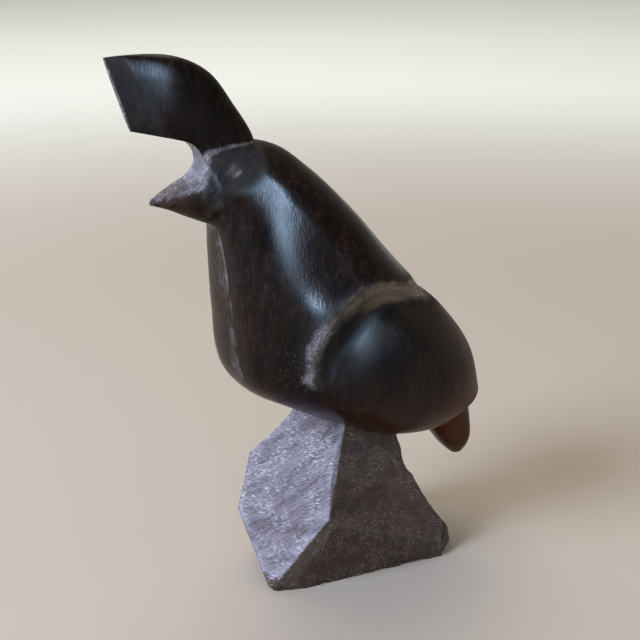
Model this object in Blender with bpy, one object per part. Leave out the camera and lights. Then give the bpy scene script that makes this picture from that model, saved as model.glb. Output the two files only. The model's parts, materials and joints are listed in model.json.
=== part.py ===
# Quail carved in desert ironwood, standing on a rough rock of the same block.
# Metres, +Z up. The bird faces -Y, its left side is +X, and x = 0 is its middle plane.
# The origin lies on the flat underside, below the bird's breastbone.
import math

import bmesh
import bpy
import numpy as np
from mathutils import Matrix

# The bird
BIRD_HEIGHT = 0.123          # from the rock's seat to the top of the crest
SEAT_HEIGHT = 0.045          # where the belly sits on the rock
GROOVE_DEPTH = 0.0050        # hollow filed between neck and wing
BANK_REACH = 0.0058          # from the hull of the wing's circles out to the end of the filed bank
BANK_EXTRA = 0.0010          # how much further the bank reaches over the back
BACK_LIFT = 0.0030           # how far the hollow lies beyond the wing's edge over the back
ROUND_OVER = 0.0060          # how far in the wing is rounded over the back
DOME_REACH = 0.0100          # how much further in the rounding goes over the flank
SHOULDER_RISE = 0.0014       # low swelling above the filed bank
SHOULDER_SPREAD = 0.0070
WING_CUT_ROUND = 0.0090      # rounding of the wing's cut corner
NOTCH_RADIUS = 0.0061        # round file that cut the forehead between crest and beak

# The rock
ROCK_LEFT = 0.0236           # from the middle plane to the left side
ROCK_RIGHT = 0.0190          # from the middle plane to the right side
ROCK_FRONT = 0.0325          # from the origin to the front
ROCK_REAR = 0.0400           # from the origin to the back
ROCK_HOLLOW_RADIUS = 0.070   # long round rasp that swept the sides
ROCK_HOLLOW_DEPTH = 0.0016   # how far it went in past the flat
ROCK_SWEEP_RADIUS = 0.080    # broad hollow down the rock's back
ROCK_SCALLOP_RADIUS = 0.009  # round rasp that cut the rock's neck at the back

# Fineness of the mesh
BODY_AROUND = 54
BODY_ALONG = 62
CREST_AROUND = 24
CREST_ALONG = 20
SMALL_AROUND = 20
SMALL_ALONG = 9
FILE_STEPS = 12
RASP_SIDES = 72

# Sections in hundredths of BIRD_HEIGHT, with y from the origin and z from the seat:
# place along the loft, upper rail y z, lower rail y z, half width, level of the widest
# line, roundness above and below it, and how flat the flanks beside the keel are.
BODY_SHARES = (
    (0.00, 42.9, 1.3, 27.9, -3.8, 7.5, 0.45, 2.2, 2.3, 0.00),
    (0.05, 43.4, 7.0, 22.0, -1.7, 12.8, 0.45, 2.1, 2.8, 0.00),
    (0.13, 42.7, 10.6, 20.3, -2.1, 14.9, 0.45, 2.0, 3.0, 0.00),
    (0.24, 37.4, 23.2, 6.7, 0.5, 21.4, 0.45, 2.0, 2.6, 0.00),
    (0.35, 28.9, 33.6, -5.6, 6.1, 24.6, 0.43, 2.0, 2.4, 0.02),
    (0.48, 19.7, 42.2, -18.5, 13.1, 26.0, 0.38, 2.0, 2.5, 0.02),
    (0.61, 9.8, 52.7, -29.0, 20.9, 24.4, 0.34, 2.0, 2.7, 0.01),
    (0.74, 0.3, 63.5, -30.9, 35.8, 20.8, 0.34, 2.0, 3.0, 0.01),
    (0.86, -10.0, 73.2, -31.9, 51.4, 16.4, 0.39, 2.0, 3.1, 0.02),
    (0.94, -16.9, 78.2, -33.5, 62.4, 11.6, 0.43, 2.0, 2.8, 0.03),
    (1.00, -22.8, 79.8, -38.2, 78.0, 4.8, 0.45, 2.0, 2.0, 0.00),
)
CREST_SHARES = (
    (0.00, -22.0, 76.0, -36.5, 74.5, 4.6, 0.50, 2.6, 2.6, 0.00),
    (0.14, -22.9, 80.5, -38.1, 78.4, 4.3, 0.50, 2.5, 2.5, 0.00),
    (0.36, -27.6, 88.2, -39.5, 80.0, 4.8, 0.45, 2.3, 2.3, 0.00),
    (0.56, -33.7, 95.9, -42.5, 81.3, 4.9, 0.38, 2.4, 2.2, 0.00),
    (0.75, -42.0, 99.5, -46.4, 82.4, 4.1, 0.33, 2.5, 2.2, 0.00),
    (0.88, -49.0, 100.0, -49.2, 83.1, 2.4, 0.34, 2.4, 2.2, 0.00),
    (1.00, -57.0, 99.6, -52.1, 83.8, 0.7, 0.40, 2.6, 2.6, 0.00),
)
BEAK_SHARES = (
    (0.00, -22.0, 77.5, -25.2, 58.5, 7.4, 0.45, 2.2, 2.2, 0.00),
    (0.40, -35.0, 76.4, -33.3, 60.6, 6.3, 0.45, 2.1, 2.1, 0.00),
    (0.65, -40.7, 74.0, -39.8, 63.4, 4.9, 0.45, 2.1, 2.1, 0.00),
    (0.85, -45.1, 71.4, -44.7, 65.7, 2.9, 0.48, 2.0, 2.0, 0.00),
    (1.00, -48.6, 68.6, -48.5, 67.0, 0.4, 0.50, 2.0, 2.0, 0.00),
)
TAIL_SHARES = (
    (0.00, 41.5, 5.0, 26.0, 1.0, 7.0, 0.50, 2.3, 2.3, 0.00),
    (0.40, 44.2, -5.0, 32.3, -8.1, 5.8, 0.50, 2.4, 2.4, 0.00),
    (0.80, 44.6, -12.6, 36.8, -13.9, 4.2, 0.50, 2.3, 2.3, 0.00),
    (1.00, 43.2, -15.9, 39.5, -16.4, 2.2, 0.50, 2.2, 2.2, 0.00),
)

# The wing in side view, in the same hundredths: the hull of two circles, with the upper
# front corner cut off by a straight line
WING_FRONT_SHARES = (-2.4, 29.3, 13.4)      # y, z, radius
WING_BACK_SHARES = (50.4, 12.2, 17.5)
WING_CUT_SHARES = (-15.9, 26.9)             # a point of the line
SHOULDER_SHARES = (-13.0, 40.5)             # y, z of the swelling's middle
WING_CUT_OUTWARD = 138.0                    # degrees above straight back

# The hollow, in plain shares
FLANK_START = 0.35           # of the half width, where the back turns into the flank
FLANK_SPAN = 0.60
DOME_SHARE = 0.75            # of a quarter circle, that the wing's rounding takes up
CREASE_BLEND = 0.20          # of the depth, rounded where wing and bank meet
BACK_DEPTH_SHARE = 0.15      # of the depth, that is left over the back
BREAST_END = 0.15            # of BIRD_HEIGHT above the seat, where the hollow ends
BREAST_FADE = 0.14

# The notch in side view, in the same hundredths: where its two legs would meet,
# and the direction of each leg in degrees above straight back
NOTCH_CORNER_SHARES = (-24.2, 77.2)
NOTCH_UPPER_LEG = 166.8
NOTCH_LOWER_LEG = 200.2

# Facets of the rock, each through three points: x and y as shares of the rock's sides,
# z as shares of the seat height
FACET_SHARES = (
    ((0.42, -0.07, 1.10), (0.848, -0.42, 0.52), (0.587, -0.88, 0.09)),    # lit front
    ((0.42, -0.07, 1.10), (0.848, -0.42, 0.52), (0.979, 0.755, 0.16)),    # left side
    ((0.662, -0.83, 0.00), (0.988, 0.728, 0.00), (0.867, -0.20, 0.40)),   # left foot
    ((0.587, -0.88, 0.09), (0.727, -0.62, 0.26), (0.746, -0.66, 0.00)),   # front corner
    ((-0.81, -0.76, 0.70), (-0.60, -0.93, 0.44), (-0.95, -0.62, 0.40)),   # right front
    ((-0.47, -0.96, 0.38), (0.298, -0.96, 0.10), (-0.50, -0.35, 0.00)),   # undercut
    ((-0.58, -0.34, 1.12), (-0.87, -0.67, 0.83), (-0.95, 0.53, 0.55)),    # right side
    ((-1.00, -0.50, 0.00), (-0.96, 0.71, 0.00), (-1.00, 0.00, 0.60)),     # right foot
    ((0.68, 0.49, 0.97), (0.746, 0.87, 0.16), (-0.70, 0.54, 0.90)),       # back slope
    ((0.839, 0.99, 0.00), (-0.80, 0.95, 0.00), (0.00, 0.985, 0.30)),      # back
    ((1.00, 0.71, 0.00), (0.623, 0.99, 0.00), (0.932, 0.765, 0.18)),      # left back corner
)
LEFT_SIDE = 1
RIGHT_SIDE = 6

# Round cuts across the back of the rock: y of each axis as a share of the rear, z of the
# seat height
SWEEP_SHARES = (2.40, 1.302)
SCALLOP_SHARES = (0.6825, 0.811)


def bird_size(share):
    return share * BIRD_HEIGHT / 100


def spline(keys, values, at):
    # Cubic curve through the stations, with each slope taken from its neighbours
    step = np.diff(keys)
    rise = np.diff(values, axis=0) / step[:, None]
    slope = np.empty_like(values)
    reach = (step[:-1] + step[1:])[:, None]
    slope[1:-1] = (rise[:-1] * step[1:, None] + rise[1:] * step[:-1, None]) / reach
    slope[0] = 2 * rise[0] - slope[1]
    slope[-1] = 2 * rise[-1] - slope[-2]
    i = np.clip(np.searchsorted(keys, at, side="right") - 1, 0, len(keys) - 2)
    u = ((at - keys[i]) / step[i])[:, None]
    h = step[i, None]
    return ((1 + 2 * u) * (1 - u) ** 2 * values[i] + u * (1 - u) ** 2 * h * slope[i]
            + u * u * (3 - 2 * u) * values[i + 1] + u * u * (u - 1) * h * slope[i + 1])


def loft(sections, around, along):
    # Rings between an upper and a lower rail in the middle plane, at twice the fineness
    # of the mesh. Each ring is a rounded oval whose widest line lies at its level
    # between the rails.
    around *= 2
    along = 2 * along - 1
    table = np.array(sections)
    cuts = spline(table[:, 0], table[:, 1:], np.linspace(0.0, 1.0, along))
    upper_y, upper_z, lower_y, lower_z, half, level, above, below, flank = cuts.T[:, :, None]
    angle = np.arange(around) * 2 * math.pi / around
    c = np.cos(angle)[None, :]
    s = np.sin(angle)[None, :]
    power = 2 / np.where(c > 0, above, below)
    down = np.sign(c) * np.abs(c) ** power
    out = np.sign(s) * np.abs(s) ** power
    keel = 1 - flank * np.abs(out)
    share = np.where(c > 0, level * (1 - down), level - (1 - level) * down * keel)
    ring = np.empty((along, around, 3))
    ring[..., 0] = bird_size(half * out)
    ring[..., 1] = bird_size(upper_y + (lower_y - upper_y) * share)
    ring[..., 2] = bird_size(upper_z + (lower_z - upper_z) * share) + SEAT_HEIGHT
    return ring


def ease(value):
    # From 0 to 1 with level ends
    value = np.clip(value, 0, 1)
    return value * value * (3 - 2 * value)


def soft_min(a, b, radius):
    # The lesser of two values, rounded over the radius where they meet
    mix = np.clip(0.5 + (b - a) / (2 * radius), 0, 1)
    return b + (a - b) * mix - radius * mix * (1 - mix)


def wing_distance(y, z):
    # Distances in side view, positive outside: from the hull of a small circle in front
    # and a larger one behind, and from the same hull with its corner cut off, which is
    # the wing's edge
    y0, z0, r0 = (bird_size(v) for v in WING_FRONT_SHARES)
    y1, z1, r1 = (bird_size(v) for v in WING_BACK_SHARES)
    z0 += SEAT_HEIGHT
    z1 += SEAT_HEIGHT
    length = math.hypot(y1 - y0, z1 - z0)
    ey, ez = (y1 - y0) / length, (z1 - z0) / length
    along = (y - y0) * ey + (z - z0) * ez
    across = np.abs((z - z0) * ey - (y - y0) * ez)
    lean = (r0 - r1) / length
    k = np.clip((along + across * lean / math.sqrt(1 - lean * lean)) / length, 0, 1)
    hull = np.hypot(along - k * length, across) - (r0 + (r1 - r0) * k)
    cut_y = bird_size(WING_CUT_SHARES[0])
    cut_z = bird_size(WING_CUT_SHARES[1]) + SEAT_HEIGHT
    turn = math.radians(WING_CUT_OUTWARD)
    beyond = (y - cut_y) * math.cos(turn) + (z - cut_z) * math.sin(turn)
    return hull, -soft_min(-hull, -beyond, WING_CUT_ROUND)


def groove(ring):
    # The filed hollow, deepest along the wing's edge. Outside it a bank slopes up to the
    # neck, inside it the wing is rounded along an arc. Across the back it is a shallow
    # crease that lies higher, and it fades out under the breast. The shoulder above it
    # swells a little.
    hull, away = wing_distance(ring[..., 1], ring[..., 2])
    side = np.abs(ring[..., 0]) / np.abs(ring[..., 0]).max(axis=1, keepdims=True)
    flank = ease((side - FLANK_START) / FLANK_SPAN)
    away = away - BACK_LIFT * (1 - flank)
    left = np.maximum(BANK_REACH + BANK_EXTRA * (1 - flank) - hull, 0)
    outer = ease(left / (left + np.maximum(away, 0) + 1e-5))
    inner = np.clip(1 + away / (ROUND_OVER + DOME_REACH * flank), 0, 1) * DOME_SHARE
    inner = (1 - np.sqrt(1 - inner * inner)) / (1 - math.sqrt(1 - DOME_SHARE ** 2))
    dip = soft_min(inner, outer, CREASE_BLEND)
    height = (ring[..., 2] - SEAT_HEIGHT) / BIRD_HEIGHT
    low = ease((height - BREAST_END) / BREAST_FADE)
    amount = GROOVE_DEPTH * dip * low * (BACK_DEPTH_SHARE + (1 - BACK_DEPTH_SHARE) * flank)
    ahead = ring[..., 1] - bird_size(SHOULDER_SHARES[0])
    over = ring[..., 2] - bird_size(SHOULDER_SHARES[1]) - SEAT_HEIGHT
    near = np.exp(-(ahead * ahead + over * over) / (2 * SHOULDER_SPREAD ** 2))
    amount -= SHOULDER_RISE * near * flank
    middle = ring.mean(axis=1, keepdims=True)
    spoke = ring - middle
    return middle + spoke * (1 - amount / np.linalg.norm(spoke, axis=2))[..., None]


def new_mesh(name, shape):
    bmesh.ops.recalc_face_normals(shape, faces=shape.faces)
    mesh = bpy.data.meshes.new(name)
    shape.to_mesh(mesh)
    shape.free()
    return mesh


def ring_mesh(name, rings):
    # Every second ring and point is a corner, and the points between are the middles of
    # the cells. Each cell is split along the diagonal that runs nearer its middle. A flat
    # cap closes each end.
    corner = rings[::2, ::2]
    middle = np.roll(rings[1::2, 1::2], 1, axis=1)
    before = np.roll(corner, 1, axis=1)
    rising = np.linalg.norm((before[:-1] + corner[1:]) / 2 - middle, axis=2)
    falling = np.linalg.norm((corner[:-1] + before[1:]) / 2 - middle, axis=2)
    rises = (rising < falling).tolist()
    shape = bmesh.new()
    rows = [[shape.verts.new(point) for point in ring] for ring in corner.tolist()]
    for i, (near, far) in enumerate(zip(rows[:-1], rows[1:])):
        for k in range(len(near)):
            a, b, c, d = near[k - 1], near[k], far[k], far[k - 1]
            for cell in ((a, b, c), (a, c, d)) if rises[i][k] else ((a, b, d), (b, c, d)):
                shape.faces.new(cell)
    shape.faces.new(rows[0])
    shape.faces.new(rows[-1])
    return new_mesh(name, shape)


def place(name, mesh):
    thing = bpy.data.objects.new(name, mesh)
    bpy.context.scene.collection.objects.link(thing)
    return thing


def guide(name, mesh):
    # A shape that is only joined to the carving or cut out of it
    thing = place(name, mesh)
    thing.hide_render = True
    thing.display_type = "WIRE"
    return thing


def combine(target, tool, how):
    step = target.modifiers.new(how.title() + " " + tool.name, "BOOLEAN")
    step.object = tool
    step.operation = how
    step.solver = "EXACT"


def rasp(name, radius, length):
    # A round bar with its length along X
    shape = bmesh.new()
    bmesh.ops.create_cone(shape, cap_ends=True, segments=RASP_SIDES,
                          radius1=radius, radius2=radius, depth=length)
    bmesh.ops.rotate(shape, verts=shape.verts, matrix=Matrix.Rotation(math.pi / 2, 3, "Y"))
    return guide(name, new_mesh(name, shape))


def notch():
    # The gap between crest and beak: two straight legs that meet round the file's own
    # radius, carried straight across the head
    upper, lower = math.radians(NOTCH_UPPER_LEG), math.radians(NOTCH_LOWER_LEG)
    corner_y = bird_size(NOTCH_CORNER_SHARES[0])
    corner_z = bird_size(NOTCH_CORNER_SHARES[1]) + SEAT_HEIGHT
    middle = (upper + lower) / 2
    reach = NOTCH_RADIUS / math.sin((lower - upper) / 2)
    centre_y = corner_y + reach * math.cos(middle)
    centre_z = corner_z + reach * math.sin(middle)
    sweep = math.pi - (lower - upper)
    path = []
    for k in range(FILE_STEPS + 1):
        turn = middle + math.pi + (0.5 - k / FILE_STEPS) * sweep
        path.append((centre_y + NOTCH_RADIUS * math.cos(turn), centre_z + NOTCH_RADIUS * math.sin(turn)))
    out = BIRD_HEIGHT * 0.4
    path.insert(0, (path[0][0] + out * math.cos(upper), path[0][1] + out * math.sin(upper)))
    path.append((path[-1][0] + out * math.cos(lower), path[-1][1] + out * math.sin(lower)))
    shape = bmesh.new()
    half = BIRD_HEIGHT * 0.25
    face = shape.faces.new([shape.verts.new((-half, y, z)) for y, z in path])
    grown = bmesh.ops.extrude_face_region(shape, geom=[face])["geom"]
    moved = [item for item in grown if isinstance(item, bmesh.types.BMVert)]
    bmesh.ops.translate(shape, verts=moved, vec=(2 * half, 0, 0))
    return guide("notch_file", new_mesh("notch_file", shape))


def rock_point(share):
    x, y, z = share
    return np.array((x * (ROCK_LEFT if x > 0 else ROCK_RIGHT),
                     y * (ROCK_REAR if y > 0 else ROCK_FRONT), z * SEAT_HEIGHT))


def facet(points):
    # A point on the facet and its normal, which faces away from the rock's middle
    a, b, c = (rock_point(p) for p in points)
    normal = np.cross(b - a, c - a)
    normal /= np.linalg.norm(normal)
    middle = np.array((0.0, 0.0, SEAT_HEIGHT / 2))
    return a, normal if normal @ (a - middle) > 0 else -normal


def rock_mesh():
    # A sawn block, hewn flat along each facet. It runs up into the belly.
    top = SEAT_HEIGHT + BIRD_HEIGHT * 0.10
    shape = bmesh.new()
    bmesh.ops.create_cube(shape, size=1.0)
    bmesh.ops.scale(shape, verts=shape.verts, vec=(4 * ROCK_LEFT, 4 * ROCK_REAR, top))
    bmesh.ops.translate(shape, verts=shape.verts, vec=(0, 0, top / 2))
    for points in FACET_SHARES:
        on, normal = facet(points)
        cut = bmesh.ops.bisect_plane(shape, geom=shape.verts[:] + shape.edges[:] + shape.faces[:],
                                     dist=1e-7, plane_co=on, plane_no=normal, clear_outer=True)
        rim = [item for item in cut["geom_cut"] if isinstance(item, bmesh.types.BMEdge)]
        bmesh.ops.contextual_create(shape, geom=rim)
    return new_mesh("rock", shape)


def side_rasp(name, points):
    # The long hollow swept along one side of the rock, straight along its length
    on, normal = facet(points)
    a, b, c = (rock_point(p) for p in points)
    middle = (a + b + 2 * c) / 4
    tool = rasp(name, ROCK_HOLLOW_RADIUS, 8 * ROCK_REAR)
    tool.location = middle + normal * (ROCK_HOLLOW_RADIUS - ROCK_HOLLOW_DEPTH)
    run = c - (a + b) / 2
    run -= normal * (run @ normal)
    tool.rotation_euler = (0, -math.asin(run[2] / np.linalg.norm(run)), math.atan2(run[1], run[0]))
    return tool


for old in list(bpy.data.objects):
    bpy.data.objects.remove(old, do_unlink=True)

wood = bpy.data.materials.new("desert_ironwood")
wood.use_nodes = True
shader = wood.node_tree.nodes["Principled BSDF"]
shader.inputs["Base Color"].default_value = (0.042, 0.022, 0.016, 1.0)
shader.inputs["Roughness"].default_value = 0.32
shader.inputs["Metallic"].default_value = 0.0

body = groove(loft(BODY_SHARES, BODY_AROUND, BODY_ALONG))
carving = place("quail_carving", ring_mesh("quail_carving", body))
crest = guide("crest", ring_mesh("crest", loft(CREST_SHARES, CREST_AROUND, CREST_ALONG)))
beak = guide("beak", ring_mesh("beak", loft(BEAK_SHARES, SMALL_AROUND, SMALL_ALONG)))
tail = guide("tail", ring_mesh("tail", loft(TAIL_SHARES, SMALL_AROUND, SMALL_ALONG)))
rock = guide("rock", rock_mesh())

sweep = rasp("back_sweep", ROCK_SWEEP_RADIUS, 6 * ROCK_LEFT)
sweep.location = (0, SWEEP_SHARES[0] * ROCK_REAR, SWEEP_SHARES[1] * SEAT_HEIGHT)
scallop = rasp("scallop_rasp", ROCK_SCALLOP_RADIUS, 6 * ROCK_LEFT)
scallop.location = (0, SCALLOP_SHARES[0] * ROCK_REAR, SCALLOP_SHARES[1] * SEAT_HEIGHT)
left_hollow = side_rasp("left_rasp", FACET_SHARES[LEFT_SIDE])
right_hollow = side_rasp("right_rasp", FACET_SHARES[RIGHT_SIDE])
for tool in (sweep, scallop, left_hollow, right_hollow):
    combine(rock, tool, "DIFFERENCE")

combine(carving, crest, "UNION")
combine(carving, beak, "UNION")
combine(carving, notch(), "DIFFERENCE")
combine(carving, tail, "UNION")
combine(carving, rock, "UNION")
carving.data.materials.append(wood)
carving.data.shade_smooth()
carving.data.set_sharp_from_angle(angle=math.radians(32.0))
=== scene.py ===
# Quail carved in desert ironwood, polished, on a rough rock of the same block.
# Lengths are in millimetres until a mesh is made. The bird faces -Y and x = 0 is its middle plane.
import json
import math
from functools import partial
from types import SimpleNamespace

import bpy
import numpy as np
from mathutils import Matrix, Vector

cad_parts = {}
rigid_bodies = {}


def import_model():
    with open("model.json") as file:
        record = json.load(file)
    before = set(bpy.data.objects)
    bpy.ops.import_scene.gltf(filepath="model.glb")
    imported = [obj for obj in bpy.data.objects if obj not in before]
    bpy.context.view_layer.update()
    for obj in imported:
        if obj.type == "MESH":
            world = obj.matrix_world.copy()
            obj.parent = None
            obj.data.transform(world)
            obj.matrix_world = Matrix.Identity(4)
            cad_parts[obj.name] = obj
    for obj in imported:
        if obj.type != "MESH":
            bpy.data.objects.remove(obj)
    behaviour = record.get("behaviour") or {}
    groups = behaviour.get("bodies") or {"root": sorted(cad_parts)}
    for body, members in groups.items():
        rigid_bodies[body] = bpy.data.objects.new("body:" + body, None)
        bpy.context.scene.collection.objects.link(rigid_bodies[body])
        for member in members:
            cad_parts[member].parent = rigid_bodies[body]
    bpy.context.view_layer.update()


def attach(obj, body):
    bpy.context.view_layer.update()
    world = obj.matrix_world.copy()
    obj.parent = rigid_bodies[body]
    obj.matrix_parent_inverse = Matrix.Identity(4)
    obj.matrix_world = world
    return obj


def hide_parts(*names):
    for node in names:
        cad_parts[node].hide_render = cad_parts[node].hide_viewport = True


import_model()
print("frame loaded")


# Small tools for arrays

def ease(value):  # 0 to 1 with level ends: 3t^2 - 2t^3
    value = np.clip(value, 0.0, 1.0)
    return value * value * (3 - 2 * value)


def rise(value, start, span, most=1.0):  # eases from 0 up to the most, beginning at the start
    return most * ease((value - start) / span)


def fall(value, end, span, most=1.0):  # eases from the most down to 0, finished at the end
    return most * ease((end - value) / span)


def softMin(a, b, radius):  # the lesser of two lengths, rounded over the radius where they meet
    mix = np.clip(0.5 + (b - a) / (2 * radius), 0.0, 1.0)
    return b + (a - b) * mix - radius * mix * (1 - mix)


def latticeValue(ix, iy, iz, seed):  # a fixed number from 0 to 1 for each corner, by integer mixing
    mixed = (ix * 374761393 + iy * 668265263 + iz * 1274126177 + seed * 974634777) & 0xFFFFFFFF
    mixed = ((mixed ^ (mixed >> 13)) * 1103515245) & 0xFFFFFFFF
    mixed = ((mixed ^ (mixed >> 16)) * 2246822519) & 0xFFFFFFFF
    return ((mixed >> 9) & 0x3FFFFF) / 0x3FFFFF


def waves(x, y, z, seed):  # smooth noise from -1 to 1: lattice values blended by the eased fraction
    x, y, z = np.broadcast_arrays(x, y, z)
    fx, fy, fz = np.floor(x), np.floor(y), np.floor(z)
    ix, iy, iz = fx.astype(np.int64), fy.astype(np.int64), fz.astype(np.int64)
    tx, ty, tz = ease(x - fx), ease(y - fy), ease(z - fz)
    total = np.zeros(x.shape)
    for dx, dy, dz in np.ndindex(2, 2, 2):
        weight = (tx if dx else 1 - tx) * (ty if dy else 1 - ty) * (tz if dz else 1 - tz)
        total += weight * latticeValue(ix + dx, iy + dy, iz + dz, seed)
    return 2 * total - 1


def curveThrough(keys, values, at):
    # Cubic curve through the stations. Each slope is the mean of the two beside it,
    # weighted by the steps.
    step = np.diff(keys)
    steep = np.diff(values, axis=0) / step[:, None]
    slope = np.empty_like(values)
    bothSteps = (step[:-1] + step[1:])[:, None]
    slope[1:-1] = (steep[:-1] * step[1:, None] + steep[1:] * step[:-1, None]) / bothSteps
    slope[0] = 2 * steep[0] - slope[1]
    slope[-1] = 2 * steep[-1] - slope[-2]
    i = np.clip(np.searchsorted(keys, at, side="right") - 1, 0, len(keys) - 2)
    u = ((at - keys[i]) / step[i])[:, None]
    h = step[i, None]
    return ((1 + 2 * u) * (1 - u) ** 2 * values[i] + u * (1 - u) ** 2 * h * slope[i]
            + u * u * (3 - 2 * u) * values[i + 1] + u * u * (u - 1) * h * slope[i + 1])


def addObject(name, data):
    thing = bpy.data.objects.new(name, data)
    bpy.context.scene.collection.objects.link(thing)
    return thing


def gridObject(name, grid):
    # Rows of points that close round on themselves, joined by quads, with a pole at each end.
    # The volume inside, summed over the faces, tells whether they have to be turned to face out.
    rows, cols = grid.shape[:2]
    points = np.vstack((grid.reshape(-1, 3), grid[0].mean(axis=0), grid[-1].mean(axis=0))) / 1000
    index = np.arange(rows * cols).reshape(rows, cols)
    after = np.roll(index, -1, axis=1)
    quads = np.stack((index[:-1], after[:-1], after[1:], index[1:]), axis=-1).reshape(-1, 4)
    first = np.stack((np.full(cols, rows * cols), after[0], index[0]), axis=-1)
    last = np.stack((np.full(cols, rows * cols + 1), index[-1], after[-1]), axis=-1)
    corners = points[quads]
    inside = np.einsum("ij,ij->i", corners[:, 0] - points[-1],
                       np.cross(corners[:, 1] - points[-1], corners[:, 2] - points[-1])).sum()
    facing = 1 if inside > 0 else -1
    faces = quads[:, ::facing].tolist() + first[:, ::facing].tolist() + last[:, ::facing].tolist()
    mesh = bpy.data.meshes.new(name)
    mesh.from_pydata(points.tolist(), [], faces)
    mesh.update()
    return addObject(name, mesh)


def domeRows(ring, outward, depth, count):
    # Rows that close a ring: it shrinks by the cosine and rises by the sine of a quarter turn
    turn = np.linspace(0, math.pi / 2, count + 1)[1:-1, None, None]
    middle = ring.mean(axis=0)
    return middle + (ring - middle) * np.cos(turn) + outward * depth * np.sin(turn)


# The bird

bird = {
    "height": 123.0,  # from the rock's seat to the top of the crest
    "seat": 45.0,  # where the belly sits on the rock
    "grooveDepth": 5.0,
    "bankReach": 5.8,  # from the hull of the wing's circles out to the filed bank's end
    "bankExtra": 1.0,  # how much further the bank reaches over the back
    "backLift": 3.0,  # how far the hollow lies beyond the wing's edge over the back
    "roundOver": 6.0,  # how far in the wing is rounded over the back
    "domeReach": 10.0,  # how much further in the rounding goes over the flank
    "bodyGrid": (200, 200),  # points around and rings along
    "crestGrid": (92, 84),
    "smallGrid": (64, 50),
    "bodyEnd": (0.8, 5),  # height of the dome over each end, and its rows
    "crestEnd": (0.15, 3),
    "beakEnd": (0.2, 3),
    "tailEnd": (0.5, 5),
    "handWave": 0.03,  # how far the hand-smoothed surface wanders
    "handWaveLength": 11.0,
    "flank": (0.35, 0.6),  # start and span of the turn from back to flank, of the half width
    "grooveLow": (0.15, 0.14),  # start and span of the hollow's rise, of the height
    "grooveBack": 0.15,  # share of the depth that is left over the back
    "grooveSoft": 0.01,
    # Sections in hundredths of the height: place, upper rail y z, lower rail y z, half width,
    # level of the widest line, roundness above and below it, flatness beside the keel
    "body": (
        (0.00, 42.9, 1.3, 27.9, -3.8, 7.5, 0.45, 2.2, 2.3, 0.00),
        (0.05, 43.4, 7.0, 22.0, -1.7, 12.8, 0.45, 2.1, 2.8, 0.00),
        (0.13, 42.7, 10.6, 20.3, -2.1, 14.9, 0.45, 2.0, 3.0, 0.00),
        (0.24, 37.4, 23.2, 6.7, 0.5, 21.4, 0.45, 2.0, 2.6, 0.00),
        (0.35, 28.9, 33.6, -5.6, 6.1, 24.6, 0.43, 2.0, 2.4, 0.02),
        (0.48, 19.7, 42.2, -18.5, 13.1, 26.0, 0.38, 2.0, 2.5, 0.02),
        (0.61, 9.8, 52.7, -29.0, 20.9, 24.4, 0.34, 2.0, 2.7, 0.01),
        (0.74, 0.3, 63.5, -30.9, 35.8, 20.8, 0.34, 2.0, 3.0, 0.01),
        (0.86, -10.0, 73.2, -31.9, 51.4, 16.4, 0.39, 2.0, 3.1, 0.02),
        (0.94, -16.9, 78.2, -33.5, 62.4, 11.6, 0.43, 2.0, 2.8, 0.03),
        (1.00, -22.8, 79.8, -38.2, 78.0, 4.8, 0.45, 2.0, 2.0, 0.00)),
    "crest": (
        (0.00, -22.0, 76.0, -36.5, 74.5, 4.6, 0.50, 2.6, 2.6, 0.00),
        (0.14, -22.9, 80.5, -38.1, 78.4, 4.3, 0.50, 2.5, 2.5, 0.00),
        (0.36, -27.6, 88.2, -39.5, 80.0, 4.8, 0.45, 2.3, 2.3, 0.00),
        (0.56, -33.7, 95.9, -42.5, 81.3, 4.9, 0.38, 2.4, 2.2, 0.00),
        (0.75, -42.0, 99.5, -46.4, 82.4, 4.1, 0.33, 2.5, 2.2, 0.00),
        (0.88, -49.0, 100.0, -49.2, 83.1, 2.4, 0.34, 2.4, 2.2, 0.00),
        (1.00, -57.0, 99.6, -52.1, 83.8, 0.7, 0.40, 2.6, 2.6, 0.00)),
    "beak": (
        (0.00, -22.0, 77.5, -25.2, 58.5, 7.4, 0.45, 2.2, 2.2, 0.00),
        (0.40, -35.0, 76.4, -33.3, 60.6, 6.3, 0.45, 2.1, 2.1, 0.00),
        (0.65, -40.7, 74.0, -39.8, 63.4, 4.9, 0.45, 2.1, 2.1, 0.00),
        (0.85, -45.1, 71.4, -44.7, 65.7, 2.9, 0.48, 2.0, 2.0, 0.00),
        (1.00, -48.6, 68.6, -48.5, 67.0, 0.4, 0.50, 2.0, 2.0, 0.00)),
    "tail": (
        (0.00, 41.5, 5.0, 26.0, 1.0, 7.0, 0.50, 2.3, 2.3, 0.00),
        (0.40, 44.2, -5.0, 32.3, -8.1, 5.8, 0.50, 2.4, 2.4, 0.00),
        (0.80, 44.6, -12.6, 36.8, -13.9, 4.2, 0.50, 2.3, 2.3, 0.00),
        (1.00, 43.2, -15.9, 39.5, -16.4, 2.2, 0.50, 2.2, 2.2, 0.00)),
    "shoulder": (-13.0, 40.5),  # y and z of a low swelling above the filed bank
    "shoulderRise": 1.4,
    "shoulderSpread": 7.0,
    "wingFront": (-2.4, 29.3, 13.4),  # y, z and radius of the wing's outline in side view
    "wingBack": (50.4, 12.2, 17.5),
    "wingCut": (-15.9, 26.9, 138.0),  # a point y, z of the cut corner, and its outward direction
    "wingCutRound": 9.0,
    "domeShare": 0.75,  # how much of a quarter circle the wing's rounding takes up
    "creaseBlend": 0.2,  # share of the depth that is rounded where wing and bank meet
}


def birdSize(share):
    return share * bird["height"] / 100


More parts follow.
